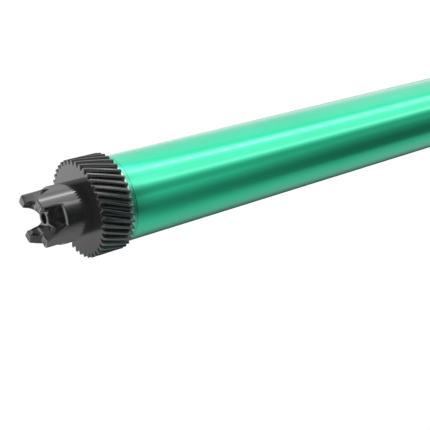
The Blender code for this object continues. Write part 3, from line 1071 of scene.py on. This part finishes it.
def buildPost():
    foot = flange["floorDepth"] + flange["web"] - post["sink"]
    seat = flange["rimThickness"] + plug["length"]
    place = plug["radius"] - plug["wall"] - post["inset"]
    edge, pinTop = flange["edgeRounding"], seat + post["pinHeight"]
    corners = [
        (0.0, foot, 0.0),
        (post["radius"], foot, 0.0),
        (post["radius"], seat, edge),
        (post["pinRadius"], seat, edge),
        (post["pinRadius"], pinTop, edge),
        (0.0, pinTop, 0.0),
    ]
    outline = filletOutline(corners, post["cornerSteps"])
    piece = turnOutline("contactPost", outline, post["radius"], post["segments"], flangeFinish)
    piece.data.transform(Matrix.Translation((0.0, place, 0.0)))
    return piece


def buildEndFlange():
    bm = bmesh.new()
    columns = []
    sides = ribSides(
        flange["spokeCount"], flange["spokeThickness"], flange["firstSpoke"], flange["gapSteps"]
    )
    for angleAt, isGap in sides:
        course = filletOutline(flangeColumn(isGap), flange["cornerSteps"])
        columns.append([turnedPoint(*point, angleAt) for point in course])
    skinColumns(bm, columns, closedColumns=True)
    closeSolid(bm, mergeDistance)
    piece = objectFrom(bm, "endFlange")
    contactPost = buildPost()
    values = {"Copied Object": contactPost, "Count": post["count"], "Finish": flangeFinish}
    runTree(piece, ringTree, values)
    removeObject(contactPost)
    markEdgeHighlight(piece, *flange["edgeHighlightFrom"])
    return finishShading(piece)


endFlange = buildEndFlange()
print("end flange:", len(endFlange.data.polygons), "faces")


# ground contact: the CAD node keeps its stamped shape

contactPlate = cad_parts["ground_contact"]
for materialSlot in contactPlate.material_slots:
    materialSlot.material = contactFinish


# floor, light and camera

studio = {
    "floorSize": 6.0,
    "floorGrey": (0.90, 0.90, 0.90, 1.0),
    "floorPale": (0.93, 0.93, 0.93, 1.0),
    "floorPatches": 3.0,
    "floorGlow": 0.34,  # the floor's own light
    "floorRoughness": 0.9,
    "floorShine": 0.2,
    "front": 4.2,  # azimuth of the camera, in degrees
    "brightest": 4.0,  # light that a ring's ramp can hold
    "backdrop": (1.0, 1.0, 1.0, 1.0),  # stands behind the part but isn't mirrored in it
    "overhead": 1.1,  # soft box above
    "overheadFrom": (44.0, 56.0),  # elevations over which one light gives way to the next
    "ceilingFrom": (-17.0, -9.0),
    "middleFrom": (-28.55, -28.3),
    "middleLift": 1.9,  # the middle ring starts this much lower in front than behind
    "belowFrom": (-58.0, -66.0),
    "below": 0.4,  # share of light that comes from straight below
    "leanTurn": 20.0,  # the low panels on the right draw together towards the floor
    "leanFrom": -29.0,
    "leanHigh": -22.0,
    "leanFade": 9.0,
    "leanStart": -20.0,
    "leanSpan": 83.0,
    "capHigh": (-31.0, 3.2),  # elevation and most light of a low panel
    "capLow": (-46.0, 1.5),
    "shadeHigh": (-31.0, 1.1),  # elevation and share of light on the dark side in front
    "shadeLow": (-46.0, 0.6),
    "shadeSpan": ((-75.0, -60.0), (-18.0, -6.0)),
    "greenTint": (0.1, 1.0, 0.80),
    "warmTint": (1.45, 1.0, 0.88),
    "capTint": (1.2, 1.0, 0.9),  # of the most light
}

# (azimuth from the camera, light) and, in the low ring, the share of green tint, or of warm tint
# where it is negative
panels = {
    "low": [
        (-180, 0.10, 0.5), (-150, 0.13, 0.6), (-134, 0.28, 0.4), (-118, 0.42, 0.3),
        (-98, 0.46, 0.4), (-86, 0.43, 0.5), (-74, 0.34, 0.6), (-62, 0.23, 0.6),
        (-48, 0.19, 0.6), (-38, 0.22, 0.6), (-30, 0.30, 0.6), (-24, 0.36, 0.6),
        (-16, 0.46, 0.6), (-11, 0.45, 0.6), (-6, 0.36, 0.6), (5, 0.36, 0.6),
        (10, 0.50, 0.5), (15, 0.70, 0.4), (20, 1.00, 0.1), (23, 1.20, -0.5),
        (26, 1.20, -0.5), (31, 1.02, 0.15), (48, 1.04, 0.25), (57, 1.15, 0.0),
        (61, 1.80, -1.0), (66, 1.80, -1.0), (71, 1.28, 0.0), (79, 0.96, 0.55),
        (88, 0.90, 0.55), (94, 0.90, 0.25), (134, 0.78, 0.15), (158, 0.84, 0.0),
    ],
    "middle": [
        (-180, 0.15), (-156, 0.13), (-138, 0.32), (-108, 0.47),
        (-90, 0.49), (-72, 0.43), (-63, 0.34), (-48, 0.05),
        (-40, 0.025), (-18, 0.025), (0, 0.07), (12, 0.19),
        (19, 0.34), (24, 0.72), (28, 1.55), (32, 1.65),
        (36, 1.02), (42, 0.88), (54, 1.01), (61, 1.20),
        (66, 1.50), (70, 3.40), (74, 3.40), (78, 1.55),
        (84, 1.20), (89, 0.90), (96, 0.93), (104, 1.06),
        (120, 0.98), (138, 0.70), (150, 0.50), (165, 0.30),
    ],
    "ceiling": [
        (-180, 0.75), (-177.3, 0.38), (-170, 0.42), (-160, 0.80),
        (-150, 1.50), (-125, 1.50), (-112, 0.50), (-100, 0.30),
        (-60, 0.25), (100, 0.25), (110, 0.32), (122, 1.00),
        (150, 1.00), (170, 1.04), (177.8, 1.02), (179.2, 0.95),
    ],
}

viewFrom = {
    "turn": math.radians(-85.8),
    "right": (0.5656, -0.2647, -0.7811),
    "up": (0.1140, 0.9632, -0.2438),
    "back": (0.8168, 0.0488, 0.5749),
    "place": (0.20524, 0.0, 0.10216),  # from the middle of the gear's face
    "lens": 71.78,
    "sensor": 36.0,
    "clipStart": 10 * mm,
}


def buildFloorFinish():
    material, tree, shader = newFinish(
        "paleFloor",
        Roughness=studio["floorRoughness"],
        Specular_IOR_Level=studio["floorShine"],
        Emission_Strength=studio["floorGlow"],
    )
    shade = noise(tree, objectPlace(tree), studio["floorPatches"])
    colour = blendColor(tree, shade, studio["floorGrey"], studio["floorPale"])
    feed(tree, shader, Base_Color=colour, Emission_Color=colour)
    return material


def buildFloor():
    half = studio["floorSize"] / 2
    bm = bmesh.new()
    corners = [(-half, -half), (half, -half), (half, half), (-half, half)]
    bm.faces.new([bm.verts.new((x, y, cadLow.z)) for x, y in corners])
    floor = objectFrom(bm, "studioFloor")
    floor.data.materials.append(buildFloorFinish())
    floor.visible_glossy = False
    return floor


def buildCamera():
    turned = Matrix.Rotation(viewFrom["turn"], 3, "Z")
    axes = [turned @ Vector(viewFrom[name]) for name in ("right", "up", "back")]
    place = turned @ Vector(viewFrom["place"]) + Vector((0.0, 0.0, gearFace))
    camera = bpy.data.objects.new("photoCamera", bpy.data.cameras.new("photoCamera"))
    bpy.context.scene.collection.objects.link(camera)
    camera.data.lens = viewFrom["lens"]
    camera.data.sensor_width = viewFrom["sensor"]
    camera.data.clip_start = viewFrom["clipStart"]
    pose = Matrix(axes).transposed().to_4x4()
    pose.translation = place
    camera.matrix_world = pose
    return camera


def between(tree, value, first, second):
    # straight course between two (place, result) points, level past them
    ends = {"i1": first[0], "i2": second[0], "i3": first[1], "i4": second[1]}
    return addNode(tree, "ShaderNodeMapRange", i0=value, **ends).outputs[0]


def panelLight(tree, azimuth, name):
    place = calc(tree, "WRAP", azimuth, 180.0, -180.0)
    place = calc(tree, "DIVIDE", calc(tree, "ADD", place, 180.0), 360.0)
    ramp = addNode(tree, "ShaderNodeValToRGB", i0=place)
    stops = ramp.color_ramp.elements
    for index, given in enumerate(panels[name]):
        angle, light, share = (*given, 0.0)[:3]
        stop = stops[index] if index < 2 else stops.new((angle + 180) / 360)
        stop.position = (angle + 180) / 360
        tint = studio["greenTint"] if share > 0 else studio["warmTint"]
        tint = [mix(1.0, channel, abs(share)) for channel in tint]
        stop.color = (*[light / studio["brightest"] * channel for channel in tint], 1.0)
    return scaled(tree, ramp.outputs["Color"], studio["brightest"])


def scaled(tree, colour, factor):
    return vectorCalc(tree, "SCALE", i0=colour, Scale=factor)[0]


def buildLowLight(tree, azimuth, elevation):
    # what the tube mirrors: panels that lean together, a capped key light, a fading dark side
    low = calc(tree, "MINIMUM", elevation, studio["leanHigh"])
    low = calc(tree, "DIVIDE", calc(tree, "SUBTRACT", low, studio["leanFrom"]), studio["leanFade"])
    lean = calc(tree, "SUBTRACT", 1.0, calc(tree, "EXPONENT", low))
    leanEnd = studio["leanStart"] + studio["leanSpan"]
    turn = between(tree, azimuth, (studio["leanStart"], 0.0), (leanEnd, 1.0))
    lean = calc(tree, "MULTIPLY", lean, turn)
    leant = calc(tree, "MULTIPLY_ADD", lean, studio["leanTurn"], azimuth)
    light = panelLight(tree, leant, "low")
    most = between(tree, elevation, studio["capLow"], studio["capHigh"])
    cap = scaled(tree, studio["capTint"], most)
    light = vectorCalc(tree, "MINIMUM", i0=light, i1=cap)[0]
    rise, fall = studio["shadeSpan"]
    dark = calc(tree, "SUBTRACT", softStep(tree, azimuth, *rise), softStep(tree, azimuth, *fall))
    shade = between(tree, elevation, studio["shadeLow"], studio["shadeHigh"])
    kind = {"data_type": "FLOAT"}
    shade = addNode(tree, "ShaderNodeMix", kind, i0=dark, i2=1.0, i3=shade).outputs[0]
    lowest = softStep(tree, elevation, *studio["belowFrom"])
    lowest = between(tree, lowest, (0.0, 1.0), (1.0, studio["below"]))
    return scaled(tree, light, calc(tree, "MULTIPLY", shade, lowest))


def buildWorld():
    # rings of light that the glossy surfaces mirror, one over another, and a soft box above
    world = bpy.data.worlds.new("studioWorld")
    world.use_nodes = True
    tree = world.node_tree
    way = addNode(tree, "ShaderNodeTexCoord").outputs["Generated"]
    x, y, z = addNode(tree, "ShaderNodeSeparateXYZ", i0=way).outputs
    azimuth = calc(tree, "ARCTAN2", x, calc(tree, "MULTIPLY", y, -1.0))
    azimuth = calc(tree, "SUBTRACT", calc(tree, "DEGREES", azimuth), studio["front"])
    azimuth = calc(tree, "WRAP", azimuth, 180.0, -180.0)
    elevation = calc(tree, "DEGREES", calc(tree, "ARCSINE", z))
    light = buildLowLight(tree, azimuth, elevation)
    lift = calc(tree, "COSINE", calc(tree, "RADIANS", calc(tree, "MULTIPLY", azimuth, 0.5)))
    lifted = calc(tree, "MULTIPLY_ADD", lift, studio["middleLift"], elevation)
    for name, height in (("middle", lifted), ("ceiling", elevation)):
        share = softStep(tree, height, *studio[name + "From"])
        light = blendColor(tree, share, light, panelLight(tree, azimuth, name))
    share = softStep(tree, elevation, *studio["overheadFrom"])
    light = blendColor(tree, share, light, (*[studio["overhead"]] * 3, 1.0))
    seen = addNode(tree, "ShaderNodeLightPath").outputs["Is Camera Ray"]
    light = blendColor(tree, seen, light, studio["backdrop"])
    tree.links.new(light, tree.nodes["Background"].inputs["Color"])
    return world


studioFloor = buildFloor()
bpy.context.scene.camera = buildCamera()
bpy.context.scene.world = buildWorld()
bpy.context.scene.view_settings.view_transform = "Standard"
print("floor, light and camera set")


# pieces and bodies

for piece, node, slotName in (
    (drumTube, "drum_tube", "drum_coat"),
    (driveGear, "drive_gear", "gear_plastic"),
    (endFlange, "end_flange", "flange_plastic"),
):
    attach(piece, "root")
    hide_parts(node)
